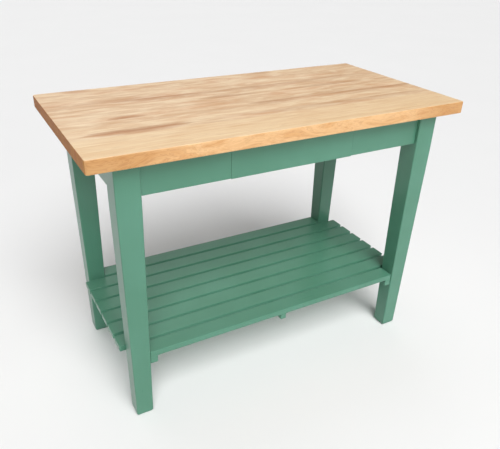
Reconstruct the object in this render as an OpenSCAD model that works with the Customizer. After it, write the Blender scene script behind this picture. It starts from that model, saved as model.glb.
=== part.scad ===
// Butcher block kitchen work table: an edge-grain maple top on a painted base
// with tapered legs, a flush apron drawer on roller slides and a slatted shelf.
// Origin: on the floor under the centre of the top. X runs along the table, the front faces -Y.

/* [Top] */
// Length of the top, along X
top_length = 1219; // [1100:1:1524]
// Depth of the top, along Y
top_depth = 610; // [600:1:680]
// Thickness of the top
top_thickness = 38; // [30:1:45]
// Height of the worktop above the floor
table_height = 889; // [850:1:940]
// Number of maple staves glued side by side
stave_count = 14; // [10:1:18]
// Radius of the top's corners, seen from above
top_corner_radius = 8; // [3:1:20]
// Chamfer along the top's upper and lower edges
top_edge_chamfer = 2.5; // [1:0.5:5]

/* [Legs] */
// Width of a leg's square head
leg_head = 69; // [60:1:76]
// Width of a leg at the floor
leg_foot = 53; // [44:1:58]
// Distance from the end of the top to a leg
leg_inset_x = 72; // [40:1:100]
// Distance from the front or back of the top to a leg
leg_inset_y = 35; // [20:1:45]
// Straight part of a leg below the apron, before the taper begins
leg_straight = 29; // [10:1:60]
// Chamfer on a leg's long edges
leg_edge_chamfer = 3; // [1:0.5:6]
// Chamfer around the foot of a leg
foot_chamfer = 6; // [2:1:10]

/* [Apron] */
// Height of the apron
apron_height = 98; // [90:1:130]
// Thickness of the apron boards
apron_thickness = 19; // [16:1:22]
// Distance that the apron's face lies behind the legs' faces
apron_setback = 12; // [4:1:16]

/* [Drawer] */
// Width of the opening in the front apron
drawer_opening = 416; // [340:1:480]
// Gap at each side of the drawer front
drawer_gap = 0.5; // [0.5:0.1:3]
// Distance that the drawer front hangs below the aprons
drawer_drop = 1.5; // [0:0.5:3]
// Length of the drawer box, front to back
drawer_length = 400; // [340:1:420]
// Height of the drawer box
drawer_box_height = 66; // [60:1:70]
// Thickness of the drawer's sides, front and back
drawer_board = 12; // [10:1:14]
// Thickness of the drawer's bottom panel
drawer_bottom_thickness = 5; // [4:0.5:6]

/* [Shelf] */
// Height of the shelf's top surface above the floor
shelf_height = 240; // [150:1:400]
// Number of slats
slat_count = 8; // [6:2:8]
// Width of a slat
slat_width = 55; // [50:1:60]
// Distance from one slat to the next
slat_pitch = 66.8; // [64:0.4:67.2]
// Thickness of a slat
slat_thickness = 20; // [16:1:22]
// Length of the slats that run past the legs
long_slat_length = 1095; // [1080:1:1100]
// Depth of the cleats under the slats' ends
cleat_depth = 24; // [18:1:30]
// Depth of the batten under the middle of the slats
batten_depth = 20; // [16:1:24]

/* [Hidden] */

$fn = 48;
maple = [0.85, 0.70, 0.50];
paint = [0.35, 0.56, 0.47];
plain_wood = [0.80, 0.66, 0.46];
steel = [0.72, 0.73, 0.75];
nylon = [0.92, 0.92, 0.90];

// Levels and planes that the parts share
top_under = table_height - top_thickness;
apron_bottom = top_under - apron_height;
taper_start = apron_bottom - leg_straight;
leg_out_x = top_length / 2 - leg_inset_x;
leg_out_y = top_depth / 2 - leg_inset_y;
leg_mid_x = leg_out_x - leg_head / 2;
leg_mid_y = leg_out_y - leg_head / 2;
leg_in_x = leg_out_x - leg_head;
leg_in_y = leg_out_y - leg_head;
apron_out_x = leg_out_x - apron_setback;
apron_out_y = leg_out_y - apron_setback;
apron_in_x = apron_out_x - apron_thickness;
apron_in_y = apron_out_y - apron_thickness;
glue_line = 0.1;

// Top rail and the two rails that carry the drawer slides
top_rail_depth = 43;
top_rail_thickness = 19;
drawer_rail_height = 75;
drawer_rail_top = top_under - top_rail_thickness;

// Corner blocks, seen from above: distances along each apron from their inside corner
block_near = 79;
block_far = 119;
block_height = 60;
block_bottom = apron_bottom + 12;
bolt_d = 8;
bolt_length = 78;
bolt_levels = [block_bottom + 16, block_bottom + 44];
hole_play = 0.1;

// Angle brackets that hold the top down
bracket_arm = 30;
bracket_width = 18;
bracket_sheet = 2;
bracket_drop = 18;

// Drawer
slide_space = 12.5;
box_half = drawer_opening / 2 - slide_space;
box_front_y = -apron_in_y - 0.5;
box_back_y = box_front_y + drawer_length;
box_bottom = apron_bottom + 9;
groove_up = 8;
groove_deep = 5;
groove_play = 0.2;
tail_count = 3;
tail_slope = 1.8;

// Roller slides: u is the distance from the rail towards the drawer
sheet = 1.2;
channel_bottom = box_bottom + 13;
channel_inside = 20;
roller_d = 19;
roller_width = 6;
roller_play = 0.3;
rivet_d = 5;
rivet_play = 0.05;
// Distances from the sheet to the rollers
cabinet_shoulder = 2.4;
drawer_shoulder = 1.9;
roller_level = channel_bottom + sheet + roller_play + roller_d / 2;
slide_front_y = box_front_y + 2;
slide_length = drawer_length - 10;
cabinet_roller_y = slide_front_y + 14;
drawer_roller_y = slide_front_y + slide_length - 14;

// Shelf
slat_under = shelf_height - slat_thickness;
shelf_half = (slat_count - 1) * slat_pitch / 2 + slat_width / 2;
cleat_under = slat_under - cleat_depth;
cleat_width = 24;
// Distance from the centre to the middle of a cleat, which lies against the legs' inner faces
cleat_x = leg_inner_x(slat_under) - 0.3 - cleat_width / 2;
batten_width = 20;
slat_screw_point = shelf_height - 6;

// Half the width of a leg at a height above the floor
function leg_half(z) =
    z >= taper_start ? leg_head / 2 : leg_foot / 2 + (leg_head - leg_foot) / 2 * z / taper_start;
// Where the inner face of a leg stands, along X, at a height above the floor
function leg_inner_x(z) = leg_mid_x - leg_half(z);

// Rectangle with rounded corners, centred on the origin
module rounded_rect(x, y, r) {
    square([x - 2 * r, y], center = true);
    square([x, y - 2 * r], center = true);
    for (sx = [-1, 1], sy = [-1, 1])
        translate([sx * (x / 2 - r), sy * (y / 2 - r)])
            circle(r);
}

// Rectangle from the origin up, with chamfered corners
module chamfered_rect(x, z, c) {
    polygon([[-x / 2, c], [-x / 2 + c, 0], [x / 2 - c, 0], [x / 2, c],
             [x / 2, z - c], [x / 2 - c, z], [-x / 2 + c, z], [-x / 2, z - c]]);
}

// Extrudes an outline drawn in X and Z along Y, centred
module along_y(length) {
    rotate([90, 0, 0])
        linear_extrude(length, center = true)
            children();
}

// Extrudes an outline drawn in Y and Z along X, centred
module along_x(length) {
    rotate([90, 0, 90])
        linear_extrude(length, center = true)
            children();
}

// Board with chamfered long edges and rounded corners, lying along X, from z = 0 up
module board(x, y, z, corner, chamfer) {
    intersection() {
        linear_extrude(z)
            rounded_rect(x, y, corner);
        along_x(x)
            chamfered_rect(y, z, chamfer);
        along_y(y)
            chamfered_rect(x, z, chamfer);
    }
}

// Box from one corner to the opposite one
module block(low, high) {
    translate(low)
        cube(high - low);
}

// Countersunk wood screw along +Z, with its head's face at z = 0
module wood_screw(length, d = 4) {
    cylinder(h = d / 2, d1 = 2 * d, d2 = d);
    cylinder(h = length - d, d = d);
    translate([0, 0, length - d])
        cylinder(h = d, d1 = d, d2 = 0.4);
}

// Copies its children at all four corners of the table by mirroring
module at_corners() {
    for (sx = [0, 1], sy = [0, 1])
        mirror([sx, 0, 0])
            mirror([0, sy, 0])
                children();
}

module left_and_right() {
    children();
    mirror([1, 0, 0])
        children();
}

// ---- Top ----

module top_staves() {
    stave_width = top_depth / stave_count;
    color(maple)
    translate([0, 0, top_under])
    difference() {
        board(top_length, top_depth, top_thickness, top_corner_radius, top_edge_chamfer);
        for (i = [1 : stave_count - 1])
            translate([-top_length, -top_depth / 2 + i * stave_width - glue_line / 2, -1])
                cube([2 * top_length, glue_line, top_thickness + 2]);
    }
}

// ---- Base ----

// Square with cut corners, counterclockwise from above
function leg_ring(z, half) = [
    for (p = [[half, leg_edge_chamfer - half], [half, half - leg_edge_chamfer],
              [half - leg_edge_chamfer, half], [leg_edge_chamfer - half, half],
              [-half, half - leg_edge_chamfer], [-half, leg_edge_chamfer - half],
              [leg_edge_chamfer - half, -half], [half - leg_edge_chamfer, -half]])
        [p[0], p[1], z]
];

module leg(sx, sy) {
    levels = [0, foot_chamfer, taper_start, top_under];
    halves = [leg_foot / 2 - foot_chamfer, leg_half(foot_chamfer), leg_head / 2, leg_head / 2];
    corners = 8;
    points = [for (k = [0 : 3]) each leg_ring(levels[k], halves[k])];
    sides = [
        for (k = [0 : 2], i = [0 : corners - 1])
            let (next = (i + 1) % corners)
                [k * corners + i, (k + 1) * corners + i, (k + 1) * corners + next, k * corners + next]
    ];
    foot = [for (i = [0 : corners - 1]) i];
    head = [for (i = [corners - 1 : -1 : 0]) 3 * corners + i];
    color(paint)
    translate([sx * leg_mid_x, sy * leg_mid_y, 0])
        polyhedron(points, concat([foot, head], sides));
}

module apron_front() {
    color(paint)
    block([drawer_opening / 2, -apron_out_y, apron_bottom], [leg_in_x, -apron_in_y, top_under]);
}

module apron_back() {
    color(paint)
    block([-leg_in_x, apron_in_y, apron_bottom], [leg_in_x, apron_out_y, top_under]);
}

module apron_end() {
    color(paint)
    block([apron_in_x, -leg_in_y, apron_bottom], [apron_out_x, leg_in_y, top_under]);
}

module top_rail_front() {
    color(plain_wood)
    block([-leg_in_x, -apron_in_y, drawer_rail_top],
          [leg_in_x, -apron_in_y + top_rail_depth, top_under]);
}

module drawer_rail() {
    rail_x = drawer_opening / 2;
    color(plain_wood)
    block([rail_x, -apron_in_y, drawer_rail_top - drawer_rail_height],
          [rail_x + apron_thickness, apron_in_y, drawer_rail_top]);
}

// Places its children on the bolt's axis at the back left corner: +Z points from the block into the leg
module on_bolt_axis() {
    inner_corner = (block_near + block_far) / 2 / 2;
    face = (block_far - block_near) / 2 / 2;
    for (z = bolt_levels)
        translate([-apron_in_x + inner_corner + face, apron_in_y - inner_corner - face, z])
            rotate([0, -90, -45])
                children();
}

module corner_block() {
    color(plain_wood)
    difference() {
        translate([-apron_in_x, apron_in_y, block_bottom])
            linear_extrude(block_height)
                polygon([[block_near, 0], [block_far, 0], [0, -block_far], [0, -block_near]]);
        on_bolt_axis()
            cylinder(h = 3 * block_near, d = bolt_d + hole_play, center = true);
    }
}

module hanger_bolts() {
    color(steel)
    at_corners()
        on_bolt_axis()
            translate([0, 0, -12]) {
                cylinder(h = bolt_length - bolt_d, d = bolt_d);
                translate([0, 0, bolt_length - bolt_d])
                    cylinder(h = bolt_d, d1 = bolt_d, d2 = 1);
            }
}

module hanger_washers() {
    color(steel)
    at_corners()
        on_bolt_axis()
            translate([0, 0, -1.6])
                difference() {
                    cylinder(h = 1.6, d = 22);
                    cylinder(h = 8, d = bolt_d + hole_play, center = true);
                }
}

module hanger_nuts() {
    color(steel)
    at_corners()
        on_bolt_axis()
            translate([0, 0, -8.4])
                difference() {
                    cylinder(h = 6.8, d = 15, $fn = 6);
                    cylinder(h = 20, d = bolt_d + hole_play, center = true);
                }
}

// Turns its children to face inwards at each bracket's place on the inner faces of the base
module at_brackets() {
    for (x = [-330, 0, 330])
        translate([x, apron_in_y, top_under])
            children();
    for (side = [-1, 1], y = [-60, 90])
        translate([side * apron_in_x, y, top_under])
            rotate([0, 0, -side * 90])
                children();
    for (side = [-1, 1])
        translate([side * 330, -apron_in_y + top_rail_depth, top_under])
            rotate([0, 0, 180])
                children();
}

// One arm lies under the top and the other on the apron's inner face, with the corner at the origin
module bracket() {
    hole = 4.5;
    difference() {
        union() {
            block([-bracket_width / 2, -bracket_arm, -bracket_sheet], [bracket_width / 2, 0, 0]);
            block([-bracket_width / 2, -bracket_sheet, -bracket_drop], [bracket_width / 2, 0, 0]);
        }
        translate([0, -bracket_arm + 9, 0])
            cylinder(h = 20, d = hole, center = true);
        translate([0, 0, -11])
            rotate([90, 0, 0])
                cylinder(h = 20, d = hole, center = true);
    }
}

module top_brackets() {
    color(steel)
    at_brackets()
        bracket();
}

// Pan-head screw along +Z with its head below z = 0
module pan_screw(length, d = 4, head = 7.5, head_height = 2) {
    translate([0, 0, -head_height])
        cylinder(h = head_height, d = head);
    cylinder(h = length - d, d = d);
    translate([0, 0, length - d])
        cylinder(h = d, d1 = d, d2 = 0.4);
}

module top_bracket_screws() {
    color(steel)
    at_brackets() {
        translate([0, -bracket_arm + 9, -bracket_sheet])
            pan_screw(22);
        translate([0, -bracket_sheet, -11])
            rotate([-90, 0, 0])
                pan_screw(16);
    }
}

// Slanting screws from the drawer rails into the front and back aprons, and straight ones
// from the top rail into the front apron
module rail_screws() {
    rail_face = drawer_opening / 2 + apron_thickness;
    color(steel)
    left_and_right() {
        for (end = [0, 1], z = [drawer_rail_top - 55, drawer_rail_top - 20])
            mirror([0, end, 0])
                translate([rail_face, -apron_in_y + 36, z])
                    rotate([90, 0, -15])
                        wood_screw(46);
        for (x = [270, 420])
            translate([x, -apron_in_y + top_rail_depth, top_under - top_rail_thickness / 2])
                rotate([90, 0, 0])
                    wood_screw(55);
    }
}

// ---- Drawer ----

module drawer_front() {
    color(paint)
    block([-drawer_opening / 2 + drawer_gap, -apron_out_y - 0.5, apron_bottom - drawer_drop],
          [drawer_opening / 2 - drawer_gap, box_front_y, top_under - 2]);
}

// Tails of one corner joint, drawn in Y and Z from the drawer's end inwards
module tails(play) {
    spacing = drawer_box_height / tail_count;
    wide = spacing / 2 + 2;
    for (i = [0 : tail_count - 1])
        translate([0, box_bottom + (i + 0.5) * spacing])
            polygon([[-1, -wide / 2 + play], [-1, wide / 2 - play],
                     [drawer_board + play, wide / 2 - tail_slope - play],
                     [drawer_board + play, -wide / 2 + tail_slope + play]]);
}

// The front end's pins in the right-hand side of the drawer, drawn at y = 0
module pins() {
    translate([box_half - drawer_board / 2, 0, 0])
        along_x(drawer_board)
            difference() {
                translate([0, box_bottom])
                    square([drawer_board, drawer_box_height]);
                tails(-0.05);
            }
}

module box_end_board() {
    inner = box_half - drawer_board;
    block([-inner, 0, box_bottom], [inner, drawer_board, box_bottom + drawer_box_height]);
    left_and_right()
        pins();
}

module drawer_box_front() {
    color(plain_wood)
    difference() {
        translate([0, box_front_y, 0])
            box_end_board();
        drawer_bottom_space();
    }
}

module drawer_box_back() {
    color(plain_wood)
    difference() {
        translate([0, box_back_y, 0])
            mirror([0, 1, 0])
                box_end_board();
        under_box_back();
    }
}

// The bottom panel slides in under the back board, so that board stops above the groove
module under_box_back() {
    block([-box_half - 1, box_back_y - 2 * drawer_board, 0],
          [box_half + 1, box_back_y + 1, box_bottom + groove_up + drawer_bottom_thickness + groove_play]);
}

module drawer_bottom_space() {
    reach = box_half - drawer_board + groove_deep + groove_play;
    block([-reach, box_front_y + drawer_board - groove_deep, box_bottom + groove_up],
          [reach, box_back_y + 1, box_bottom + groove_up + drawer_bottom_thickness + groove_play]);
}

module drawer_side() {
    color(plain_wood)
    difference() {
        block([box_half - drawer_board, box_front_y, box_bottom],
              [box_half, box_back_y, box_bottom + drawer_box_height]);
        translate([0, box_front_y, 0])
            pins();
        difference() {
            translate([0, box_back_y, 0])
                mirror([0, 1, 0])
                    pins();
            under_box_back();
        }
        drawer_bottom_space();
    }
}

module drawer_bottom() {
    reach = box_half - drawer_board + groove_deep;
    color(plain_wood)
    block([-reach, box_front_y + drawer_board - groove_deep + groove_play, box_bottom + groove_up],
          [reach, box_back_y, box_bottom + groove_up + drawer_bottom_thickness]);
}

module drawer_front_screws() {
    color(steel)
    for (x = [-130, 130], z = [box_bottom + 22, box_bottom + 50])
        translate([x, box_front_y + drawer_board, z])
            rotate([90, 0, 0])
                pan_screw(25);
}

// ---- Roller slides ----

// Turns u, y, z coordinates of the right-hand slide into the table's frame
module right_slide() {
    translate([drawer_opening / 2, 0, 0])
        mirror([1, 0, 0])
            children();
}

function cabinet_screw_ys() = [for (k = [0.25, 0.55, 0.9]) slide_front_y + k * slide_length];
function drawer_screw_ys() = [for (k = [0.12, 0.5, 0.8]) slide_front_y + k * slide_length];

module slide_cabinet() {
    back = slide_front_y + slide_length;
    high = channel_bottom + channel_inside + 2 * sheet;
    color(nylon)
    right_slide()
    difference() {
        union() {
            block([0, slide_front_y, channel_bottom], [sheet, back, high]);
            block([0, slide_front_y, channel_bottom], [9.5, back, channel_bottom + sheet]);
            block([0, cabinet_roller_y + 12, high - sheet], [7, back, high]);
        }
        translate([0, cabinet_roller_y, roller_level])
            rotate([0, 90, 0])
                cylinder(h = 10, d = rivet_d + hole_play, center = true);
        for (y = cabinet_screw_ys())
            translate([0, y, channel_bottom + 6])
                rotate([0, 90, 0])
                    cylinder(h = 10, d = 4, center = true);
    }
}

module slide_drawer() {
    back = slide_front_y + slide_length;
    lip = channel_bottom + sheet + channel_inside - 0.4;
    color(nylon)
    right_slide()
    difference() {
        union() {
            block([slide_space - sheet, slide_front_y, channel_bottom + 2],
                  [slide_space, back, lip + sheet]);
            block([7.6, slide_front_y, lip], [slide_space, back, lip + sheet]);
        }
        translate([slide_space, drawer_roller_y, roller_level])
            rotate([0, 90, 0])
                cylinder(h = 10, d = rivet_d + hole_play, center = true);
        for (y = drawer_screw_ys())
            translate([slide_space, y, channel_bottom + 8])
                rotate([0, 90, 0])
                    cylinder(h = 10, d = 4, center = true);
    }
}

// Roller along +u from u = 0, with a recess for the rivet's head on its far face
module roller() {
    rotate([0, 90, 0])
        difference() {
            cylinder(h = roller_width, d = roller_d, $fn = 64);
            cylinder(h = 3 * roller_width, d = rivet_d + 2 * rivet_play, center = true);
            translate([0, 0, roller_width - 1.5])
                cylinder(h = 2, d = 7.6);
        }
}

// Rivet along +u: a shoulder against the sheet, the axle, and a head in the roller's recess
module rivet(shoulder) {
    rotate([0, 90, 0]) {
        cylinder(h = sheet + shoulder + roller_width - 0.3, d = rivet_d);
        translate([0, 0, sheet])
            cylinder(h = shoulder - roller_play, d = 9);
        translate([0, 0, sheet + shoulder + roller_width - 1.2])
            cylinder(h = 0.9, d = 7);
    }
}

module roller_cabinet() {
    color(nylon)
    right_slide()
        translate([sheet + cabinet_shoulder, cabinet_roller_y, roller_level])
            roller();
}

module roller_drawer() {
    color(nylon)
    right_slide()
        translate([slide_space - sheet - drawer_shoulder, drawer_roller_y, roller_level])
            mirror([1, 0, 0])
                roller();
}

module roller_rivets_cabinet() {
    color(steel)
    left_and_right()
        right_slide()
            translate([0, cabinet_roller_y, roller_level])
                rivet(cabinet_shoulder);
}

module roller_rivets_drawer() {
    color(steel)
    left_and_right()
        right_slide()
            translate([slide_space, drawer_roller_y, roller_level])
                mirror([1, 0, 0])
                    rivet(drawer_shoulder);
}

module slide_screws_cabinet() {
    color(steel)
    left_and_right()
        right_slide()
            for (y = cabinet_screw_ys())
                translate([sheet, y, channel_bottom + 6])
                    rotate([0, -90, 0])
                        pan_screw(14, 3.8, 6.5, 1.4);
}

module slide_screws_drawer() {
    color(steel)
    left_and_right()
        right_slide()
            for (y = drawer_screw_ys())
                translate([slide_space - sheet, y, channel_bottom + 8])
                    rotate([0, 90, 0])
                        pan_screw(10, 3.8, 6.5, 1.2);
}

// ---- Shelf ----

// Bar along Y under the slats, as long as the shelf is deep
module bearer(x, width, depth) {
    color(paint)
    translate([x, 0, slat_under - depth])
        rotate([0, 0, 90])
            board(2 * shelf_half, width, depth, 2, 1.5);
}

// Slats are numbered from the front
function slat_y(i) = (i - (slat_count + 1) / 2) * slat_pitch;
function slat_length(i) =
    i == 1 || i == slat_count ? 2 * leg_inner_x(shelf_height) - 0.8 : long_slat_length;

module shelf_slat(i) {
    if (i <= slat_count)
        color(paint)
        translate([0, slat_y(i), slat_under])
            board(slat_length(i), slat_width, slat_thickness, 4, 2);
}

// Screws from under the bearers into each slat
module shelf_screws() {
    color(steel)
    for (i = [1 : slat_count]) {
        for (side = [-1, 1])
            translate([side * cleat_x, slat_y(i), cleat_under])
                wood_screw(slat_screw_point - cleat_under);
        translate([0, slat_y(i), slat_under - batten_depth])
            wood_screw(slat_screw_point - slat_under + batten_depth);
    }
}

module cleat_screws() {
    color(steel)
    at_corners()
        for (y = [leg_mid_y - 14, leg_mid_y + 14])
            translate([cleat_x - cleat_width / 2, y, cleat_under + cleat_depth / 2])
                rotate([0, 90, 0])
                    wood_screw(50);
}

top_staves();
leg(-1, -1);  // leg_front_left
leg(1, -1);  // leg_front_right
leg(-1, 1);  // leg_back_left
leg(1, 1);  // leg_back_right
mirror([1, 0, 0]) apron_front();  // apron_front_left
apron_front();  // apron_front_right
apron_back();
mirror([1, 0, 0]) apron_end();  // apron_left
apron_end();  // apron_right
top_rail_front();
mirror([1, 0, 0]) drawer_rail();  // drawer_rail_left
drawer_rail();  // drawer_rail_right
mirror([0, 1, 0]) corner_block();  // corner_block_front_left
rotate([0, 0, 180]) corner_block();  // corner_block_front_right
corner_block();  // corner_block_back_left
mirror([1, 0, 0]) corner_block();  // corner_block_back_right
hanger_bolts();
hanger_washers();
hanger_nuts();
top_brackets();
top_bracket_screws();
rail_screws();
drawer_front();
drawer_box_front();
drawer_box_back();
mirror([1, 0, 0]) drawer_side();  // drawer_side_left
drawer_side();  // drawer_side_right
drawer_bottom();
drawer_front_screws();
mirror([1, 0, 0]) slide_cabinet();  // slide_cabinet_left
slide_cabinet();  // slide_cabinet_right
mirror([1, 0, 0]) slide_drawer();  // slide_drawer_left
slide_drawer();  // slide_drawer_right
mirror([1, 0, 0]) roller_cabinet();  // roller_cabinet_left
roller_cabinet();  // roller_cabinet_right
mirror([1, 0, 0]) roller_drawer();  // roller_drawer_left
roller_drawer();  // roller_drawer_right
roller_rivets_cabinet();
roller_rivets_drawer();
slide_screws_cabinet();
slide_screws_drawer();
bearer(-cleat_x, cleat_width, cleat_depth);  // shelf_cleat_left
bearer(cleat_x, cleat_width, cleat_depth);  // shelf_cleat_right
bearer(0, batten_width, batten_depth);  // shelf_batten
cleat_screws();
shelf_screws();
shelf_slat(1);  // shelf_slat_1
shelf_slat(2);  // shelf_slat_2
shelf_slat(3);  // shelf_slat_3
shelf_slat(4);  // shelf_slat_4
shelf_slat(5);  // shelf_slat_5
shelf_slat(6);  // shelf_slat_6
shelf_slat(7);  // shelf_slat_7
shelf_slat(8);  // shelf_slat_8
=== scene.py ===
"""Looks of a butcher block kitchen table: maple top, painted base, apron drawer, slatted shelf."""

import math

import bmesh
import bpy
import numpy as np
from mathutils import Matrix, Vector


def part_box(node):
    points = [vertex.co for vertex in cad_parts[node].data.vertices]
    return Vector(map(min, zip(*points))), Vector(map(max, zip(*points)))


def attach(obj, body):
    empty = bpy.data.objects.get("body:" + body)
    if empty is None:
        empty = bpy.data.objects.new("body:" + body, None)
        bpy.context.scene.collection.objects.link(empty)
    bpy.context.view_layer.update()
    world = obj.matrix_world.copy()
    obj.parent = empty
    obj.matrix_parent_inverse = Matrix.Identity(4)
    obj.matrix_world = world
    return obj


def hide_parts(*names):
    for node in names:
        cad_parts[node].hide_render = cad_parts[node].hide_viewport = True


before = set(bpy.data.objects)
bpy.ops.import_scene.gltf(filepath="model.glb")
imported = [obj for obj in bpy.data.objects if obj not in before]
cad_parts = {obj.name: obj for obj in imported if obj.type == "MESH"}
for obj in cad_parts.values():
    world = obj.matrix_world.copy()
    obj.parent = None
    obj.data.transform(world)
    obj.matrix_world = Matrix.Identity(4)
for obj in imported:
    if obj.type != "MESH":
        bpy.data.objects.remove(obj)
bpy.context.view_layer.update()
dice = np.random.default_rng(7)

MM = 0.001
TABLE = "table"
DRAWER = "drawer"
SMOOTH_ANGLE = math.radians(38)
SIDES = ("left", "right")
ENDS = ("front", "back")


# ---------------------------------------------------------------- camera, light and floor

CAMERA_PLACE = (-0.863, -1.489, 1.357)
CAMERA_TURN = -29.6  # degrees round Z, from a view along +Y
CAMERA_FALL = 29.0  # degrees below level
CAMERA_ROLL = 1.71
LENS_MM = 39.6
LENS_SHIFT = (0.0129, 0.0166)

KEY_ORIGIN = (-0.2, -1.0, 1.2)
KEY_SPREAD = 40
KEY_STRENGTH = 3.25
FRONT_PLACE = (0.2, -1.9, 1.45)
FRONT_TARGET = (0.1, -0.3, 0.85)
FRONT_SIZE = (1.3, 0.6)
FRONT_WATTS = 7

ROOM_LEAN = (0, 0.55, 0.45)  # towards the bright back wall and ceiling
ROOM_DARK = (0.50, 0.10)  # where the dark room ends along the lean, and its grey
ROOM_BRIGHT = (0.80, 1.3)
FLOOR_REACH = 40


def make_camera():
    """The camera looks from the front left, above the worktop."""
    data = bpy.data.cameras.new("camera")
    data.sensor_width = 36
    data.lens = LENS_MM
    data.shift_x, data.shift_y = LENS_SHIFT
    camera = bpy.data.objects.new("camera", data)
    bpy.context.collection.objects.link(camera)
    turn = Matrix.Rotation(math.radians(CAMERA_TURN), 4, "Z")
    tilt = Matrix.Rotation(math.radians(90 - CAMERA_FALL), 4, "X")
    roll = Matrix.Rotation(math.radians(CAMERA_ROLL), 4, "Z")
    camera.matrix_world = Matrix.Translation(CAMERA_PLACE) @ turn @ tilt @ roll
    bpy.context.scene.camera = camera


def add_light(name, kind, strength, direction):
    """A new light that shines along a direction."""
    data = bpy.data.lights.new(name, kind)
    data.energy = strength
    light = bpy.data.objects.new(name, data)
    bpy.context.collection.objects.link(light)
    light.rotation_euler = direction.to_track_quat("-Z", "Y").to_euler()
    return light


def soft_sun(name, origin, spread, strength):
    """Even light from far off in the direction of origin, as soft as its spread in degrees."""
    light = add_light(name, "SUN", strength, -Vector(origin))
    light.data.angle = math.radians(spread)


def area_light(name, place, target, size, watts):
    light = add_light(name, "AREA", watts, Vector(target) - Vector(place))
    light.data.shape = "RECTANGLE"
    light.data.size, light.data.size_y = size
    light.location = place


def shade_world(tree):
    """A bright ceiling and back wall, and a darker room in front of the table and at its sides."""
    coordinates = tree.nodes.new("ShaderNodeTexCoord")
    lean = tree.nodes.new("ShaderNodeVectorMath")
    lean.operation = "DOT_PRODUCT"
    lean.inputs[1].default_value = ROOM_LEAN
    ramp = tree.nodes.new("ShaderNodeValToRGB")
    tree.links.new(coordinates.outputs["Generated"], lean.inputs[0])
    tree.links.new(lean.outputs["Value"], ramp.inputs["Fac"])
    tree.links.new(ramp.outputs["Color"], tree.nodes["Background"].inputs["Color"])
    for stop, (position, grey) in zip(ramp.color_ramp.elements, (ROOM_DARK, ROOM_BRIGHT)):
        stop.position, stop.color = position, (grey, grey, grey, 1)


def make_floor():
    reach = FLOOR_REACH
    mesh = bpy.data.meshes.new("floor")
    corners = [(-reach, -reach, 0), (reach, -reach, 0), (reach, reach, 0), (-reach, reach, 0)]
    mesh.from_pydata(corners, [], [(0, 1, 2, 3)])
    floor = bpy.data.objects.new("floor", mesh)
    bpy.context.collection.objects.link(floor)
    mesh.materials.append(floor_material())


def make_studio():
    world = bpy.data.worlds.new("studio")
    bpy.context.scene.world = world
    world.use_nodes = True
    shade_world(world.node_tree)
    bpy.context.scene.view_settings.view_transform = "Standard"
    soft_sun("key", KEY_ORIGIN, KEY_SPREAD, KEY_STRENGTH)
    area_light("front", FRONT_PLACE, FRONT_TARGET, FRONT_SIZE, FRONT_WATTS)
    make_floor()


# ---------------------------------------------------------------- materials


def linear(red, green, blue):
    """A colour as a paint chart gives it, from 0 to 255, turned into the shader's linear values."""
    values = [v / 255 for v in (red, green, blue)]
    return tuple(v / 12.92 if v <= 0.04045 else ((v + 0.055) / 1.055) ** 2.4 for v in values) + (1,)


def along(axis, length, width):
    """Scale of a pattern drawn out along one axis: 1 / length there, 1 / width across it."""
    return tuple(1 / length if name == axis else 1 / width for name in "XYZ")


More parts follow.
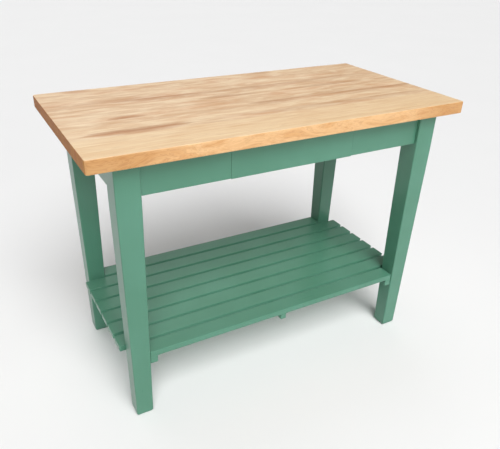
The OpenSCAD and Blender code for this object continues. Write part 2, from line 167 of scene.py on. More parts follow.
class Shader:
    """A material and a short way to build its nodes."""

    def __init__(self, name):
        self.material = bpy.data.materials.new(name)
        self.material.use_nodes = True
        self.tree = self.material.node_tree
        self.surface = self.tree.nodes["Principled BSDF"]

    def feed(self, socket, value):
        if isinstance(value, bpy.types.NodeSocket):
            self.tree.links.new(value, socket)
        else:
            socket.default_value = value

    def set(self, **inputs):
        for name, value in inputs.items():
            self.feed(self.surface.inputs[name.replace("_", " ")], value)

    def node(self, kind, **settings):
        made = self.tree.nodes.new("ShaderNode" + kind)
        for name, value in settings.items():
            setattr(made, name, value)
        return made

    def math(self, operation, a, b=0.0, c=0.0):
        made = self.node("Math", operation=operation)
        for socket, value in zip(made.inputs, (a, b, c)):
            self.feed(socket, value)
        return made.outputs[0]

    def times(self, a, b):
        return self.math("MULTIPLY", a, b)

    def line(self, value, slope, start):
        """value * slope + start."""
        return self.math("MULTIPLY_ADD", value, slope, start)

    def vector(self, operation, a, b=(0, 0, 0)):
        made = self.node("VectorMath", operation=operation)
        self.feed(made.inputs[0], a)
        self.feed(made.inputs[1], b)
        return made.outputs["Value"] if operation == "LENGTH" else made.outputs["Vector"]

    def place(self):
        return self.node("TexCoord").outputs["Object"]

    def part(self, vector, axis):
        split = self.node("SeparateXYZ")
        self.feed(split.inputs[0], vector)
        return split.outputs[axis]

    def normal_part(self, axis):
        """How far the surface faces along X, Y or Z, from 0 to 1."""
        return self.math("ABSOLUTE", self.part(self.node("NewGeometry").outputs["Normal"], axis))

    def attribute(self, name, output="Fac"):
        return self.node("Attribute", attribute_name=name).outputs[output]

    def noise(self, vector, scale, detail=3.0, roughness=0.5, distortion=0.0):
        made = self.node("TexNoise")
        self.feed(made.inputs["Vector"], vector)
        for name, value in (
            ("Scale", scale),
            ("Detail", detail),
            ("Roughness", roughness),
            ("Distortion", distortion),
        ):
            self.feed(made.inputs[name], value)
        return made.outputs["Fac"]

    def grain(self, vector, scales, detail=3.0, roughness=0.5, distortion=0.0):
        """Noise with its own scale along each axis."""
        stretched = self.vector("MULTIPLY", vector, scales)
        return self.noise(stretched, 1.0, detail, roughness, distortion)

    def cells(self, vector):
        """Distance to the nearest of a scatter of points, and a random number for each point."""
        made = self.node("TexVoronoi")
        self.feed(made.inputs["Vector"], vector)
        made.inputs["Scale"].default_value = 1.0
        return made.outputs["Distance"], self.part(made.outputs["Color"], 0)

    def ramp(self, factor, *stops):
        """Runs from one value to the next: each stop is (position, value) or (position, colour)."""
        made = self.node("ValToRGB")
        self.feed(made.inputs["Fac"], factor)
        points = made.color_ramp.elements
        while len(points) < len(stops):
            points.new(1.0)
        for point, (position, value) in zip(points, stops):
            point.position = position
            point.color = value if isinstance(value, tuple) else (value, value, value, 1)
        return made.outputs["Color"]

    def mix(self, factor, a, b, blend="MIX"):
        made = self.node("Mix", data_type="RGBA", blend_type=blend)
        self.feed(made.inputs["Factor"], factor)
        self.feed(made.inputs["A"], a)
        self.feed(made.inputs["B"], b)
        return made.outputs["Result"]

    def blend(self, factor, low, high, a, b):
        """Colour a while the factor is under low, colour b once it is over high."""
        return self.mix(self.ramp(factor, (low, 0.0), (high, 1.0)), a, b)

    def bump(self, height, distance, strength=1.0, normal=None):
        made = self.node("Bump")
        self.feed(made.inputs["Height"], height)
        made.inputs["Distance"].default_value = distance
        made.inputs["Strength"].default_value = strength
        if normal:
            self.feed(made.inputs["Normal"], normal)
        return made.outputs["Normal"]


def floor_material():
    """A matt pale floor that lets the table be seen from below."""
    s = Shader("pale_floor")
    tone = s.mix(s.noise(s.place(), 1.5, 2.0), (0.85, 0.85, 0.85, 1), (0.87, 0.87, 0.87, 1))
    s.set(Roughness=0.9, Base_Color=tone)
    mixed = s.node("MixShader")
    s.feed(mixed.inputs["Fac"], s.node("NewGeometry").outputs["Backfacing"])
    s.tree.links.new(s.surface.outputs[0], mixed.inputs[1])
    s.tree.links.new(s.node("BsdfTransparent").outputs[0], mixed.inputs[2])
    s.tree.links.new(mixed.outputs[0], s.tree.nodes["Material Output"].inputs["Surface"])
    return s.material


PAINT_LIGHT = linear(83, 136, 114)
PAINT_DARK = linear(78, 131, 108)


def paint_material(axis):
    """Smooth semi-gloss paint brushed along one axis, with the wood's grain barely showing."""
    s = Shader("green_paint_" + axis.lower())
    place = s.place()
    brush = s.grain(place, along(axis, 0.25, 0.004), 2.0, 0.5)
    grain = s.grain(place, along(axis, 0.35, 0.012), 3.0, 0.5, 0.4)
    cloud = s.noise(place, 6.0, 2.0)
    peel = s.noise(place, 700.0, 2.0)
    tone = s.blend(cloud, 0.35, 0.65, PAINT_DARK, PAINT_LIGHT)
    thin = s.ramp(grain, (0.35, 0.98), (0.65, 1.0))
    s.set(
        Base_Color=s.mix(1.0, tone, thin, "MULTIPLY"),
        Roughness=s.line(brush, 0.06, 0.26),
        Normal=s.bump(s.line(peel, 0.3, brush), 0.0002, 0.08, s.bump(grain, 0.0004, 0.05)),
    )
    return s.material


RING_WIDTH = 3.4 * MM
RING_BEND = 22 * MM
HEART_HALF_WIDTH = 32 * MM
HEART_WANDER = 26 * MM
HEART_BROWN = linear(160, 104, 46)
HEART_RED = linear(176, 102, 50)
EDGE_SHADE_SPAN = (0.36, 0.52)  # where painted shade darkens the long edges towards each end


def growth_rings(s, place, local):
    """Ring lines round the stave's own pith, bent by a slow noise."""
    bend = s.grain(local, along("X", 0.30, 0.06), 2.0)
    from_pith = s.vector("SUBTRACT", place, s.attribute("pith", "Vector"))
    radial = s.vector("MULTIPLY", from_pith, (0, 1, 1))
    radius = s.line(bend, RING_BEND, s.vector("LENGTH", radial))
    ring = s.math("FRACT", s.math("DIVIDE", radius, RING_WIDTH))
    return s.ramp(ring, (0.0, 0.0), (0.70, 0.3), (0.92, 1.0), (1.0, 0.0))


def sapwood(s, local, tone, streak, blush):
    """The pale wood of a stave: streaks, soft stains, and a creamier kind on golden staves."""
    wash = s.grain(local, along("X", 0.35, 0.045), 2.0)
    mottle = s.grain(local, along("X", 0.11, 0.024), 3.0, 0.6, 0.5)
    level = s.line(streak, 1.3, s.line(wash, 1.1, tone))
    body = s.ramp(
        s.math("SUBTRACT", level, 1.2),
        (0.00, linear(244, 218, 181)),
        (0.35, linear(234, 204, 167)),
        (0.65, linear(221, 185, 146)),
        (1.00, linear(196, 151, 112)),
    )
    body = s.mix(s.ramp(blush, (0.46, 0.0), (0.70, 0.50)), body, linear(224, 172, 130))
    body = s.mix(s.ramp(mottle, (0.50, 0.0), (0.68, 0.50)), body, linear(208, 154, 102))
    body = s.mix(s.ramp(mottle, (0.34, 0.55), (0.52, 0.0)), body, linear(255, 234, 200))
    cream = s.blend(streak, 0.35, 0.65, linear(246, 219, 176), linear(232, 193, 143))
    return s.mix(s.times(s.attribute("gold"), 0.8), body, cream)


def add_heartwood(s, body, place, local, streak, blush):
    """Heartwood lies in long bands that fade to soft points."""
    wander = s.grain(local, along("X", 0.07, 0.05), 4.0, 0.6)
    grainy = s.line(s.ramp(streak, (0.34, 0.0), (0.66, 1.0)), 0.3, 0.7)
    brown = s.mix(blush, HEART_BROWN, HEART_RED)
    for name in "ab":
        band = s.attribute("heart_" + name, "Vector")
        spot = s.vector("SUBTRACT", place, band)
        run = s.math("DIVIDE", s.part(spot, 0), s.part(band, 2))
        room = s.math("MAXIMUM", s.math("SUBTRACT", 1.0, s.times(run, run)), 0.0)
        half = s.line(s.math("POWER", room, 0.8), HEART_HALF_WIDTH, 0.5 * MM)
        sway = s.math("SUBTRACT", wander, 0.5)
        off = s.math("ABSOLUTE", s.line(sway, HEART_WANDER, s.part(spot, 1)))
        soft = s.ramp(s.math("DIVIDE", off, half), (0.0, 1.0), (1.15, 0.0))
        heart = s.times(s.times(soft, grainy), s.math("SQRT", room))
        heart = s.times(heart, s.attribute("heart_strength_" + name))
        body = s.mix(heart, body, brown)
    return body


def add_long_edges(s, body, place, local):
    """The long edges are flat-sawn: more golden, with arched figure and a few pin knots, and
    painted shade towards each end.
    """
    edge = s.ramp(s.normal_part(1), (0.5, 0.0), (0.8, 1.0))
    figure = s.grain(local, (7, 20, 34), 3.0, 0.6, 1.6)
    fine_figure = s.grain(local, (28, 60, 90), 3.0, 0.6, 2.0)
    gold = s.blend(figure, 0.42, 0.66, linear(222, 178, 126), linear(204, 148, 88))
    # Painted shade: the long edges turn darker and browner towards each end, and the same mask
    # makes the arched figure stronger there.
    start, end = EDGE_SHADE_SPAN
    shaded_ends = s.ramp(s.math("ABSOLUTE", s.part(place, 0)), (start, 0.0), (end, 1.0))
    gold = s.mix(s.times(shaded_ends, 0.75), gold, linear(186, 132, 68))
    gold = s.mix(s.ramp(fine_figure, (0.55, 0.0), (0.72, 0.4)), gold, linear(186, 122, 66))
    arc = s.math("FRACT", s.times(figure, 9.0))
    arc_line = s.ramp(arc, (0.0, 0.0), (0.55, 0.2), (0.90, 1.0), (1.0, 0.0))
    gold = s.mix(s.times(arc_line, s.line(shaded_ends, 0.25, 0.34)), gold, linear(164, 100, 44))
    body = s.mix(s.times(edge, 0.9), body, gold)

    slant = s.node("CombineXYZ")
    s.feed(slant.inputs[0], s.times(s.part(local, 2), 0.6))
    slanted = s.vector("ADD", local, slant.outputs[0])
    distance, chance = s.cells(s.vector("MULTIPLY", slanted, (30, 18, 15)))
    few = s.ramp(chance, (0.82, 0.0), (0.84, 1.0))
    knot = s.times(s.ramp(distance, (0.04, 1.0), (0.15, 0.0)), few)
    return s.mix(s.times(s.times(knot, edge), 0.6), body, linear(134, 78, 40))


def add_end_grain(s, body, local, end, tone, ring_line):
    """End grain drinks more oil and is darker."""
    warm = s.grain(local, (1, 60, 12), 2.0)
    end_tone = s.blend(warm, 0.35, 0.65, linear(196, 136, 56), linear(186, 112, 48))
    end_tone = s.mix(s.times(ring_line, 0.6), end_tone, linear(146, 86, 38))
    end_tone = s.mix(s.times(tone, 1.1), end_tone, linear(156, 92, 34))
    return s.mix(s.times(end, 0.96), body, end_tone)


def maple_material():
    """Oiled edge-grain maple. Each stave carries its own pith, seed, tone, gold and heartwood."""
    s = Shader("maple_staves")
    place = s.place()
    seed = s.attribute("seed")
    tone = s.attribute("tone")
    shift = s.node("CombineXYZ")
    s.feed(shift.inputs[0], s.times(seed, 3.7))
    s.feed(shift.inputs[1], s.times(seed, 1.3))
    local = s.vector("ADD", place, shift.outputs[0])

    streak = s.grain(local, along("X", 0.22, 0.009), 5.0, 0.62, 0.8)
    blush = s.grain(local, along("X", 0.16, 0.03), 2.0)
    fibre = s.grain(local, along("X", 0.030, 0.0006), 2.0)
    fleck = s.grain(local, along("X", 0.0045, 0.0007), 1.0)
    ring_line = growth_rings(s, place, local)
    end = s.ramp(s.normal_part(0), (0.6, 0.0), (0.9, 1.0))

    body = sapwood(s, local, tone, streak, blush)
    body = add_heartwood(s, body, place, local, streak, blush)
    body = s.mix(s.times(ring_line, 0.10), body, linear(168, 112, 66))
    fibres = s.times(s.ramp(fibre, (0.35, 1.0), (0.6, 0.0)), 0.10)
    body = s.mix(fibres, body, linear(176, 124, 80))
    flecks = s.times(s.ramp(fleck, (0.66, 0.0), (0.72, 1.0)), 0.22)
    body = s.mix(flecks, body, linear(170, 118, 76))
    body = add_long_edges(s, body, place, local)
    body = add_end_grain(s, body, local, end, tone, ring_line)

    s.set(
        Base_Color=body,
        Roughness=s.line(end, 0.25, s.line(streak, 0.16, 0.36)),
        Normal=s.bump(s.line(fibre, 0.6, s.times(ring_line, 0.4)), 0.0002, 0.3),
    )
    return s.material


def plain_wood_material(name, axis, light, dark, roughness):
    """Straight-grained hardwood, with darker end grain, for the hidden frame and the drawer box."""
    s = Shader(name)
    place = s.place()
    grain = s.grain(place, along(axis, 0.30, 0.006), 4.0, 0.6, 0.5)
    pores = s.grain(place, along(axis, 0.02, 0.0005), 2.0)
    tone = s.blend(grain, 0.3, 0.7, light, dark)
    tone = s.mix(s.ramp(pores, (0.30, 0.3), (0.45, 0.0)), tone, dark)
    end = s.ramp(s.normal_part("XYZ".index(axis)), (0.7, 0.0), (0.9, 0.55))
    deep = tuple(0.6 * v for v in dark[:3]) + (1,)
    s.set(
        Base_Color=s.mix(end, tone, deep),
        Roughness=s.line(grain, 0.15, roughness),
        Normal=s.bump(s.math("ADD", grain, pores), 0.0003, 0.3),
    )
    return s.material


def wood_by_axis(name, light, dark, roughness):
    """The same wood with its grain along X, Y and Z."""
    return {
        axis: plain_wood_material(name + axis.lower(), axis, light, dark, roughness)
        for axis in "XYZ"
    }


def plywood_material():
    """Birch plywood: calm face veneer, and plies that take turns in light and dark on the edge."""
    s = Shader("birch_plywood")
    place = s.place()
    ply_thickness = 2 * MM
    grain = s.grain(place, along("X", 0.25, 0.012), 4.0, 0.55, 1.2)
    fibre = s.grain(place, along("X", 0.02, 0.0006), 2.0)
    face = s.blend(grain, 0.35, 0.68, linear(228, 202, 162), linear(206, 172, 126))
    face = s.mix(s.ramp(fibre, (0.32, 0.25), (0.5, 0.0)), face, linear(180, 140, 96))
    ply = s.math("FRACT", s.math("DIVIDE", s.part(place, 2), ply_thickness))
    dark_ply = s.ramp(ply, (0.45, 0.0), (0.5, 1.0), (0.95, 1.0), (1.0, 0.0))
    plies = s.mix(dark_ply, linear(222, 192, 148), linear(150, 106, 66))
    edge = s.ramp(s.normal_part(2), (0.3, 1.0), (0.6, 0.0))
    s.set(
        Base_Color=s.mix(edge, face, plies),
        Roughness=s.line(grain, 0.12, 0.36),
        Normal=s.bump(fibre, 0.0001, 0.3),
    )
    return s.material


def metal_material(name, colour, metallic, roughness, scratch):
    """Plated or enamelled steel: cloudy colour and gloss, and fine scratches."""
    s = Shader(name)
    place = s.place()
    fine = s.grain(place, (900, 120, 900), 3.0)
    cloud = s.noise(place, 60.0, 3.0)
    dull = tuple(0.78 * v for v in colour[:3]) + (1,)
    s.set(
        Base_Color=s.blend(cloud, 0.35, 0.65, colour, dull),
        Roughness=s.line(cloud, 0.2, roughness),
        Normal=s.bump(fine, 0.0001, scratch),
        Metallic=metallic,
    )
    return s.material


def nylon_material():
    s = Shader("white_nylon")
    place = s.place()
    cloud = s.noise(place, 120.0, 2.0)
    s.set(
        Base_Color=s.mix(cloud, linear(222, 221, 212), linear(238, 237, 231)),
        Roughness=s.line(cloud, 0.15, 0.42),
        Normal=s.bump(s.noise(place, 2500.0, 2.0), 0.00005, 0.3),
        Subsurface_Weight=0.1,
        Subsurface_Radius=(0.001, 0.001, 0.001),
    )
    return s.material


# ---------------------------------------------------------------- meshes


def finish_piece(name, bm, material, body, slot, *nodes):
    """Makes a bmesh a smooth-shaded piece that rides on a body and stands for CAD nodes."""
    mesh = bpy.data.meshes.new(name)
    bm.to_mesh(mesh)
    bm.free()
    mesh.shade_smooth()
    mesh.set_sharp_from_angle(angle=SMOOTH_ANGLE)
    mesh.materials.append(material)
    piece = bpy.data.objects.new(name, mesh)
    bpy.context.collection.objects.link(piece)
    weighted = piece.modifiers.new("weighted_normals", "WEIGHTED_NORMAL")
    weighted.keep_sharp = True
    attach(piece, body)
    if nodes:
        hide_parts(*nodes)
    return piece


def box_mesh(low, high):
    bm = bmesh.new()
    size = Vector(high) - Vector(low)
    middle = (Vector(high) + Vector(low)) / 2
    place = Matrix.Translation(middle) @ Matrix.Diagonal((*size, 1))
    bmesh.ops.create_cube(bm, size=1.0, matrix=place)
    return bm


def is_upright(edge):
    span = edge.verts[1].co - edge.verts[0].co
    return abs(span.z) > 0.9 * span.length


def round_edges(bm, edges, radius, segments):
    bmesh.ops.bevel(
        bm,
        geom=edges,
        offset=radius,
        offset_type="OFFSET",
        segments=segments,
        profile=0.5,
        affect="EDGES",
        clamp_overlap=True,
    )


def sharp_edges(bm, least=0.5):
    return [e for e in bm.edges if len(e.link_faces) == 2 and e.calc_face_angle() > least]


def board_mesh(low, high, corner=0.0, edge=0.002):
    """A board with rounded upright corners and eased edges all round."""
    bm = box_mesh(low, high)
    if corner:
        round_edges(bm, [e for e in bm.edges if is_upright(e)], corner, 6)
    flat = [e for e in bm.edges if not is_upright(e)] if corner else list(bm.edges)
    round_edges(bm, flat, edge, 4)
    return bm


def board(node, material, body, slot, corner=0.0, edge=0.002):
    low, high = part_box(node)
    bm = board_mesh(low, high, corner, edge)
    return finish_piece(node + "_piece", bm, material, body, slot, node)


def cad_mesh(node):
    """A CAD node's mesh with its flat faces joined up again."""
    bm = bmesh.new()
    bm.from_mesh(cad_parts[node].data)
    bmesh.ops.remove_doubles(bm, verts=bm.verts, dist=1e-6)
    bmesh.ops.dissolve_limit(bm, angle_limit=math.radians(0.5), verts=bm.verts, edges=bm.edges)
    return bm


def eased(node, material, body, slot, radius, bends=None, bend_radius=0.0):
    """The CAD node with its sharp edges eased and, for bent sheet, its bends rounded."""
    bm = cad_mesh(node)
    if bends:
        round_edges(bm, bends(bm), bend_radius, 4)
    round_edges(bm, sharp_edges(bm), radius, 2)
    return finish_piece(node + "_piece", bm, material, body, slot, node)


def islands(node):
    """The separate solids of a CAD node: one array of points each."""
    bm = bmesh.new()
    bm.from_mesh(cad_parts[node].data)
    bmesh.ops.remove_doubles(bm, verts=bm.verts, dist=1e-6)
    bm.verts.ensure_lookup_table()
    seen = set()
    found = []
    for start in bm.verts:
        if start.index in seen:
            continue
        group = []
        stack = [start]
        seen.add(start.index)
        while stack:
            vertex = stack.pop()
            group.append(vertex.co[:])
            for edge in vertex.link_edges:
                other = edge.other_vert(vertex)
                if other.index not in seen:
                    seen.add(other.index)
                    stack.append(other)
        found.append(np.array(group))
    bm.free()
    return found


def give_attribute(mesh, name, kind, value):
    """The same value at every point of a mesh."""
    field = "vector" if kind == "FLOAT_VECTOR" else "value"
    values = np.tile(np.atleast_1d(np.array(value, dtype=np.float32)), len(mesh.vertices))
    mesh.attributes.new(name, kind, "POINT").data.foreach_set(field, values)


# ---------------------------------------------------------------- the top

TOP_CORNER = 8 * MM
TOP_EDGE = 3 * MM

# Each stave from the front: how dark its wood is, and how golden
STAVE_TONES = (
    (0.10, 1.00), (0.16, 0.90), (0.22, 0.75), (0.48, 0.20), (0.36, 0.25),
    (0.46, 0.10), (0.42, 0.15), (0.50, 0.05), (0.44, 0.10), (0.56, 0.00),
    (0.46, 0.05), (0.40, 0.05), (0.46, 0.00), (0.42, 0.10),
)
NO_HEART = (0, 0, 1, 0)

# Heartwood in a stave: middle along the stave, distance from its middle line, half length and
# strength. A stave has room for two.
STAVE_HEART = {
    4: ((-0.42, 0.006, 0.16, 0.95), (0.22, 0.010, 0.42, 0.38)),
    6: ((0.06, 0.014, 0.11, 0.70), (0.42, 0.015, 0.30, 0.60)),
    7: ((-0.42, -0.014, 0.06, 0.75), (0.30, -0.018, 0.22, 0.25)),
    9: ((-0.06, -0.016, 0.11, 0.60), (0.32, -0.016, 0.17, 0.50)),
    10: ((-0.27, 0.015, 0.16, 0.65), (0.12, 0.017, 0.50, 0.42)),
    11: ((-0.40, -0.017, 0.20, 0.35), (0.40, -0.016, 0.18, 0.25)),
    14: ((-0.48, 0.010, 0.05, 0.60), (0.19, 0.012, 0.05, 0.45)),
}


def make_top(material):
    """Staves cut out of one rounded slab, each with its own wood."""
    low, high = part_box("top_staves")
    count = len(islands("top_staves"))
    width = (high.y - low.y) / count
    for i in range(count):
        bm = board_mesh(low, high, corner=TOP_CORNER, edge=TOP_EDGE)
        for side, keep_above in ((i, True), (i + 1, False)):
            if side in (0, count):
                continue
            cut = bmesh.ops.bisect_plane(
                bm,
                geom=bm.verts[:] + bm.edges[:] + bm.faces[:],
                plane_co=(0, low.y + side * width, 0),
                plane_no=(0, 1, 0),
                clear_inner=keep_above,
                clear_outer=not keep_above,
            )
            rim = [e for e in cut["geom_cut"] if isinstance(e, bmesh.types.BMEdge)]
            bmesh.ops.edgeloop_fill(bm, edges=rim)
        bmesh.ops.recalc_face_normals(bm, faces=bm.faces)
        piece = finish_piece(f"top_stave_{i + 1:02d}", bm, material, TABLE, "maple", "top_staves")
        middle = low.y + (i + 0.5) * width
        pith = (0, middle + dice.uniform(-0.05, 0.05), low.z - dice.uniform(0.03, 0.16))
        tone, gold = STAVE_TONES[i % len(STAVE_TONES)]
        give_attribute(piece.data, "pith", "FLOAT_VECTOR", pith)
        give_attribute(piece.data, "seed", "FLOAT", dice.uniform(0, 10))
        give_attribute(piece.data, "tone", "FLOAT", tone)
        give_attribute(piece.data, "gold", "FLOAT", gold)
        for name, heart in zip("ab", STAVE_HEART.get(i + 1, (NO_HEART, NO_HEART))):
            x, y, half_length, strength = heart
            band = (x, middle + y, half_length)
            give_attribute(piece.data, "heart_" + name, "FLOAT_VECTOR", band)
            give_attribute(piece.data, "heart_strength_" + name, "FLOAT", strength)


# ---------------------------------------------------------------- the base


LEG_EDGE = 3.5 * MM
FOOT_ZONE = 20 * MM
SLAT_CORNER = 4 * MM
SLAT_COUNT = 8


def leg_mesh(node):
    """A square leg that tapers below the apron, with rounded edges and an eased foot."""
    points = np.array([v.co[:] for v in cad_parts[node].data.vertices])
    middle = (points.min(axis=0) + points.max(axis=0)) / 2
    bm = bmesh.new()
    rings = []
    for z in sorted({round(float(z), 5) for z in points[:, 2]}):
        level = points[np.abs(points[:, 2] - z) < 1e-4]
        half = level[:, 0].max() - middle[0]
        rings.append([
            bm.verts.new((middle[0] + x * half, middle[1] + y * half, z))
            for x, y in ((1, 1), (-1, 1), (-1, -1), (1, -1))
        ])
    bm.faces.new(rings[0][::-1])
    bm.faces.new(rings[-1])
    for below, above in zip(rings, rings[1:]):
        for i in range(4):
            j = (i + 1) % 4
            bm.faces.new((below[i], below[j], above[j], above[i]))
    bmesh.ops.recalc_face_normals(bm, faces=bm.faces)
    long_edges = [e for e in bm.edges if is_upright(e)]
    level_edges = [e for e in sharp_edges(bm) if e not in long_edges]
    foot_edges = [e for e in level_edges if e.verts[0].co.z < FOOT_ZONE]
    round_edges(bm, long_edges + foot_edges, LEG_EDGE, 4)
    return bm


def make_base(paint):
    """The painted legs, aprons, drawer front and shelf, brushed along their own lengths."""
    slot = "green_paint"
    for side in SIDES:
        for end in ENDS:
            node = f"leg_{end}_{side}"
            finish_piece(node + "_piece", leg_mesh(node), paint["Z"], TABLE, slot, node)
        board("apron_front_" + side, paint["X"], TABLE, slot, edge=0.5 * MM)
        board("apron_" + side, paint["Y"], TABLE, slot, edge=1.2 * MM)
        board("shelf_cleat_" + side, paint["Y"], TABLE, slot, edge=2.5 * MM)
    board("apron_back", paint["X"], TABLE, slot, edge=1.2 * MM)
    board("shelf_batten", paint["Y"], TABLE, slot, edge=2.0 * MM)
    board("drawer_front", paint["X"], DRAWER, slot, edge=0.7 * MM)
    for i in range(1, SLAT_COUNT + 1):
        node = f"shelf_slat_{i}"
        board(node, paint["X"], TABLE, slot, corner=SLAT_CORNER, edge=2.0 * MM)


def make_frame(wood):
    """The bare boards inside the base."""
    for side in SIDES:
        board("drawer_rail_" + side, wood["Y"], TABLE, "bare_hardwood", edge=0.8 * MM)
        for end in ENDS:
            eased(f"corner_block_{end}_{side}", wood["Z"], TABLE, "bare_hardwood", 0.8 * MM)
    board("top_rail_front", wood["X"], TABLE, "bare_hardwood", edge=0.8 * MM)


def make_drawer_box(wood, plywood):
    for end in ENDS:
        eased("drawer_box_" + end, wood["X"], DRAWER, "drawer_wood", 0.35 * MM)
    for side in SIDES:
        eased("drawer_side_" + side, wood["Y"], DRAWER, "drawer_wood", 0.35 * MM)
    board("drawer_bottom", plywood, DRAWER, "plywood", edge=0.4 * MM)


# ---------------------------------------------------------------- hardware

# Angles of a turned part with a cross recess: the arms' middles, corners and inner corners
RECESS_ANGLES = [math.radians(90 * q + a) for q in range(4) for a in (0, 17, 31, 45, 59, 73)]
ROUND_ANGLES = [math.radians(15 * k) for k in range(24)]


def turned(bm, place, rings, angles=ROUND_ANGLES, hollow=False):
    """A body of rings round +Z. A ring is (radius, z), and either may be a list, one per angle."""
    count = len(angles)
    loops = []
    for radius, z in rings:
        radii = radius if isinstance(radius, list) else [radius] * count
        heights = z if isinstance(z, list) else [z] * count
        loops.append([
            bm.verts.new(place @ Vector((r * math.cos(a), r * math.sin(a), h)))
            for r, h, a in zip(radii, heights, angles)
        ])
    pairs = list(zip(loops, loops[1:]))
    if hollow:
        pairs.append((loops[-1], loops[0]))
    else:
        bm.faces.new(loops[0][::-1])
        bm.faces.new(loops[-1])
    for below, above in pairs:
        for i in range(count):
            j = (i + 1) % count
            bm.faces.new((below[i], below[j], above[j], above[i]))


def helix(bm, place, start, end, root, crest, pitch, segments=12):
    """A screw thread round +Z: a closed solid whose crests wind up from start to end."""
    work = bmesh.new()
    steps = 2 * math.ceil((end - start) / pitch) + 4
    rows = []
    for i in range(steps):
        row = []
        for j in range(segments + 1):
            z = start + (i / 2 + j / segments - 1) * pitch
            inside = start < z < end
            radius = crest if inside and i % 2 else root
            angle = 2 * math.pi * j / segments
            z = min(max(z, start), end)
            row.append(work.verts.new((radius * math.cos(angle), radius * math.sin(angle), z)))
        rows.append(row)
    for below, above in zip(rows, rows[1:]):
        for j in range(segments):
            work.faces.new((below[j], below[j + 1], above[j + 1], above[j]))
    bmesh.ops.remove_doubles(work, verts=work.verts, dist=1e-7)
    rim = [e for e in work.edges if e.is_boundary]
    bmesh.ops.edgeloop_fill(work, edges=rim)
    bmesh.ops.recalc_face_normals(work, faces=work.faces)
    work.transform(place)
    mesh = bpy.data.meshes.new("thread")
    work.to_mesh(mesh)
    work.free()
    bm.from_mesh(mesh)
    bpy.data.meshes.remove(mesh)


def axis_of(points):
    """A long turned solid: a matrix with its origin at the wide end and +Z along the solid, the
    solid's length, and its widest radius."""
    middle = points.mean(axis=0)
    direction = Vector(np.linalg.svd(points - middle)[2][0])
    heights = (points - middle) @ np.array(direction)
    low, high = heights.min(), heights.max()
    rest = points - middle - np.outer(heights, np.array(direction))
    centre = (rest.max(axis=0) + rest.min(axis=0)) / 2
    radii = np.linalg.norm(rest - centre, axis=1)
    half_way = (low + high) / 2
    if radii[heights > half_way].max() > radii[heights < half_way].max() + 1e-4:
        direction, low, high = -direction, -high, -low
    turn = direction.to_track_quat("Z", "Y").to_matrix().to_4x4()
    place = Matrix.Translation(Vector(centre + middle) + direction * low) @ turn
    return place, high - low, float(radii.max())


def recess_ring(size, scale, z):
    """A cross outline for a turned part: arms that reach out by size, 0.3 of it to each side."""
    arm = 0.30 * size
    radii = []
    for angle in RECESS_ANGLES:
        off = abs((angle + math.pi / 4) % (math.pi / 2) - math.pi / 4)
        inner = arm / math.sin(off) if off > math.radians(16) else size / math.cos(off)
        radii.append(scale * min(inner, size / math.cos(off)))
    return radii, z


def wood_screw(bm, place, length, head, shank, countersunk, head_height):
    """A screw along +Z whose head starts at z = 0, with a cross recess and a real thread."""
    core = 0.68 * shank
    recess = 0.62 * head
    smooth = head_height + 0.3 * (length - head_height)
    taper = length - 2.2 * shank
    if countersunk:
        top = [(0.93 * head, 0), (head, 0.12 * head)]
        under = [(head, 0.2 * head), (shank, head_height)]
    else:
        top = [(0.70 * head, 0), (0.93 * head, 0.22 * head_height), (head, 0.6 * head_height)]
        under = [(head, head_height), (shank, head_height)]
    turned(
        bm,
        place,
        [
            recess_ring(recess, 0.45, 0.55 * head),
            recess_ring(recess, 1.0, 0.0),
            *top,
            *under,
            (shank, smooth),
            (core, smooth + 0.4 * shank),
            (core, taper),
            (0.06 * shank, length),
        ],
        RECESS_ANGLES,
    )
    helix(bm, place, smooth + 0.5 * shank, taper, 0.95 * core, shank, 0.9 * shank)


def screws(node, body, material, shank, countersunk=False):
    """Draws every screw of a CAD node again, with its recess and thread."""
    bm = bmesh.new()
    for points in islands(node):
        place, length, head = axis_of(points)
        spin = Matrix.Rotation(dice.uniform(0, math.pi / 2), 4, "Z")
        heights = np.array([(place.inverted() @ Vector(p)).z for p in points])
        steps = np.unique(heights.round(5))
        wood_screw(bm, place @ spin, length, head, shank, countersunk, float(steps[1]))
    bmesh.ops.recalc_face_normals(bm, faces=bm.faces)
    finish_piece(node + "_piece", bm, material, body, "zinc_steel", node)


BOLT_RADIUS = 4 * MM
WASHER_HOLE = 4.4 * MM
NUT_HOLE = 4.1 * MM
MACHINE_PITCH = 1.25 * MM
WOOD_PITCH = 3.2 * MM


def make_bolts(material):
    """Hanger bolts: a machine thread with washer and nut on the block, a wood thread in the leg."""
    bolts, washers, nuts = bmesh.new(), bmesh.new(), bmesh.new()
    radius = BOLT_RADIUS
    for points in islands("hanger_bolts"):
        place, length, _ = axis_of(points)
        thread_end = 0.42 * length
        wood_start = 0.52 * length
        taper = length - 9 * MM
        core = 0.82 * radius
        turned(
            bolts,
            place,
            [
                (0.80 * radius, 0),
                (core, 0.6 * MM),
                (core, thread_end),
                (radius, thread_end + 1 * MM),
                (radius, wood_start),
                (0.7 * radius, wood_start + 2 * MM),
                (0.7 * radius, taper),
                (0.1 * radius, length),
            ],
        )
        machine_end = thread_end + 0.5 * MM
        helix(bolts, place, 0.6 * MM, machine_end, 0.8 * radius, radius, MACHINE_PITCH, 16)
        helix(bolts, place, wood_start + 2 * MM, taper, 0.66 * radius, radius, WOOD_PITCH, 16)
    for points in islands("hanger_washers"):
        place, thickness, outer = flat_axis_of(points)
        inner = WASHER_HOLE
        ease = 0.3 * MM
        turned(
            washers,
            place,
            [
                (inner, ease),
                (inner + ease, 0),
                (outer - ease, 0),
                (outer, ease),
                (outer, thickness - ease),
                (outer - ease, thickness),
                (inner + ease, thickness),
                (inner, thickness - ease),
            ],
            hollow=True,
        )
    for points in islands("hanger_nuts"):
        place, thickness, outer = flat_axis_of(points)
        hex_nut(nuts, place, thickness, outer)
    for name, bm in (("hanger_bolts", bolts), ("hanger_washers", washers), ("hanger_nuts", nuts)):
        bmesh.ops.recalc_face_normals(bm, faces=bm.faces)
        finish_piece(name + "_piece", bm, material, TABLE, "zinc_steel", name)


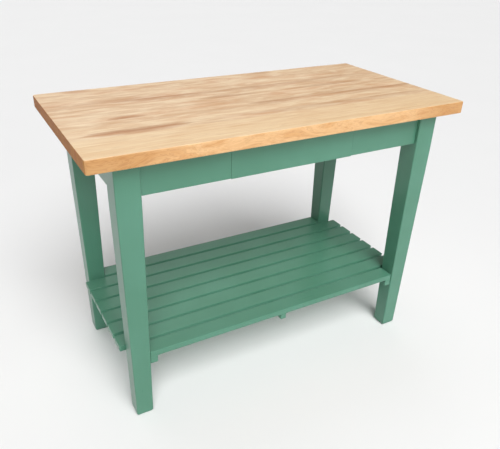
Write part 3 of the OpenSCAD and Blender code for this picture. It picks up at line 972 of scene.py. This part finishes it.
def flat_axis_of(points):
    """A short turned solid: the matrix of one face, with +Z through it, thickness and radius."""
    middle = (points.max(axis=0) + points.min(axis=0)) / 2
    direction = np.linalg.svd(points - points.mean(axis=0))[2][2]
    heights = (points - middle) @ direction
    centre = Vector(middle) + Vector(direction) * float(heights.min())
    across = points - middle - np.outer(heights, direction)
    far = int(np.linalg.norm(across, axis=1).argmax())
    x = Vector(across[far]).normalized()
    z = Vector(direction)
    turn = Matrix((x, z.cross(x), z)).transposed().to_4x4()
    return (
        Matrix.Translation(centre) @ turn,
        float(heights.max() - heights.min()),
        float(np.linalg.norm(across, axis=1).max()),
    )


def hex_nut(bm, place, thickness, outer):
    """A nut whose corners are chamfered at both ends, with a chamfered hole."""
    flat = outer * math.cos(math.pi / 6)
    # The corners are at the multiples of 60 degrees, the flats' middles between them
    hexagon = [flat / math.cos((a % (math.pi / 3)) - math.pi / 6) for a in ROUND_ANGLES]
    fall = [0.55 * (r - 0.96 * flat) for r in hexagon]
    hole = NUT_HOLE
    turned(
        bm,
        place,
        [
            (hole, 0.5 * MM),
            (hole + 0.5 * MM, 0),
            (0.96 * flat, 0),
            (hexagon, fall),
            (hexagon, [thickness - f for f in fall]),
            (0.96 * flat, thickness),
            (hole + 0.5 * MM, thickness),
            (hole, thickness - 0.5 * MM),
        ],
        hollow=True,
    )


def bracket_bends(bm):
    """The bends of the angle brackets: level edges with the end of an arm straight below them."""
    tops = {}
    for v in bm.verts:
        key = (round(v.co.x, 4), round(v.co.y, 4))
        tops.setdefault(key, []).append(v.co.z)

    def over_arm(v):
        return v.co.z - min(tops[round(v.co.x, 4), round(v.co.y, 4)]) > 10 * MM

    return [e for e in bm.edges
            if not is_upright(e) and e.calc_length() > 15 * MM
            and all(over_arm(v) for v in e.verts)]


def slide_bends(bm):
    """The bends of a slide: long edges between two faces that both reach well away from them."""

    def reach(face, edge):
        start, end = (v.co for v in edge.verts)
        along_edge = (end - start).normalized()
        spans = [v.co - start for v in face.verts]
        return max((span - along_edge * span.dot(along_edge)).length for span in spans)

    return [e for e in bm.edges
            if e.calc_length() > 0.2 and len(e.link_faces) == 2 and e.calc_face_angle() > 0.5
            and all(reach(face, e) > 3 * MM for face in e.link_faces)]


def roller_mesh(node):
    """A moulded roller: rounded rims, a groove in each face and the recess for the rivet."""
    low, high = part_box(node)
    points = np.array([v.co[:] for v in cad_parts[node].data.vertices])
    middle = (low + high) / 2
    across = np.linalg.norm(points[:, 1:] - np.array(middle)[1:], axis=1)
    bore = float(across.min())
    recess = sorted({round(float(r), 4) for r in across})[1]
    tread = (high.y - low.y) / 2
    width = high.x - low.x
    in_recess = points[np.abs(across - recess) < 2e-4, 0]
    inward = abs(in_recess.max() - high.x) < 1e-4
    facing = 1 if inward else -1
    turn = Matrix.Rotation(facing * math.pi / 2, 4, "Y")
    place = Matrix.Translation((low.x if inward else high.x, middle.y, middle.z)) @ turn
    depth = float(in_recess.max() - in_recess.min())
    ease = 0.9 * MM
    groove = 0.35 * MM
    bm = bmesh.new()
    turned(
        bm,
        place,
        [
            (bore, 0),
            (0.60 * tread, 0),
            (0.64 * tread, groove),
            (0.76 * tread, groove),
            (0.80 * tread, 0),
            (tread - ease, 0),
            (tread - 0.25 * ease, 0.25 * ease),
            (tread, ease),
            (tread, width - ease),
            (tread - 0.25 * ease, width - 0.25 * ease),
            (tread - ease, width),
            (0.80 * tread, width),
            (0.76 * tread, width - groove),
            (0.64 * tread, width - groove),
            (0.60 * tread, width),
            (recess, width),
            (recess, width - depth),
            (bore, width - depth),
        ],
        [math.radians(7.5 * k) for k in range(48)],
        hollow=True,
    )
    bmesh.ops.recalc_face_normals(bm, faces=bm.faces)
    return bm


def make_slides(enamel, nylon, zinc):
    """The slide members, and on each a roller that rides on a body of its own."""
    parts = (("cabinet", TABLE), ("drawer", DRAWER))
    for side in SIDES:
        for part, body in parts:
            member = f"slide_{part}_{side}"
            eased(member, enamel, body, "slide_enamel", 0.25 * MM, slide_bends, 1.1 * MM)
            node = f"roller_{part}_{side}"
            roller_body = f"{part}_roller_{side}"
            finish_piece(node + "_piece", roller_mesh(node), nylon, roller_body, "nylon", node)
    for part, body in parts:
        eased("roller_rivets_" + part, zinc, body, "zinc_steel", 0.25 * MM)
    for part, body in parts:
        screws("slide_screws_" + part, body, zinc, 1.9 * MM)


def make_fixings(zinc):
    eased("top_brackets", zinc, TABLE, "zinc_steel", 0.3 * MM, bracket_bends, 1.6 * MM)
    screws("top_bracket_screws", TABLE, zinc, 2 * MM)
    screws("rail_screws", TABLE, zinc, 2 * MM, countersunk=True)
    screws("shelf_screws", TABLE, zinc, 2 * MM, countersunk=True)
    screws("cleat_screws", TABLE, zinc, 2 * MM, countersunk=True)
    screws("drawer_front_screws", DRAWER, zinc, 2 * MM)
    make_bolts(zinc)


# ---------------------------------------------------------------- put it together

make_camera()
make_studio()
paints = {axis: paint_material(axis) for axis in "XYZ"}
hardwood = wood_by_axis("hardwood_", linear(205, 172, 128), linear(176, 138, 96), 0.6)
lacquered = wood_by_axis("drawer_wood_", linear(222, 192, 148), linear(198, 160, 114), 0.36)
zinc_plate = metal_material("zinc", linear(190, 192, 194), 1.0, 0.28, 0.3)
cream_enamel = metal_material("cream_enamel", linear(226, 222, 208), 0.0, 0.3, 0.1)

make_top(maple_material())
make_base(paints)
make_frame(hardwood)
make_drawer_box(lacquered, plywood_material())
make_slides(cream_enamel, nylon_material(), zinc_plate)
make_fixings(zinc_plate)
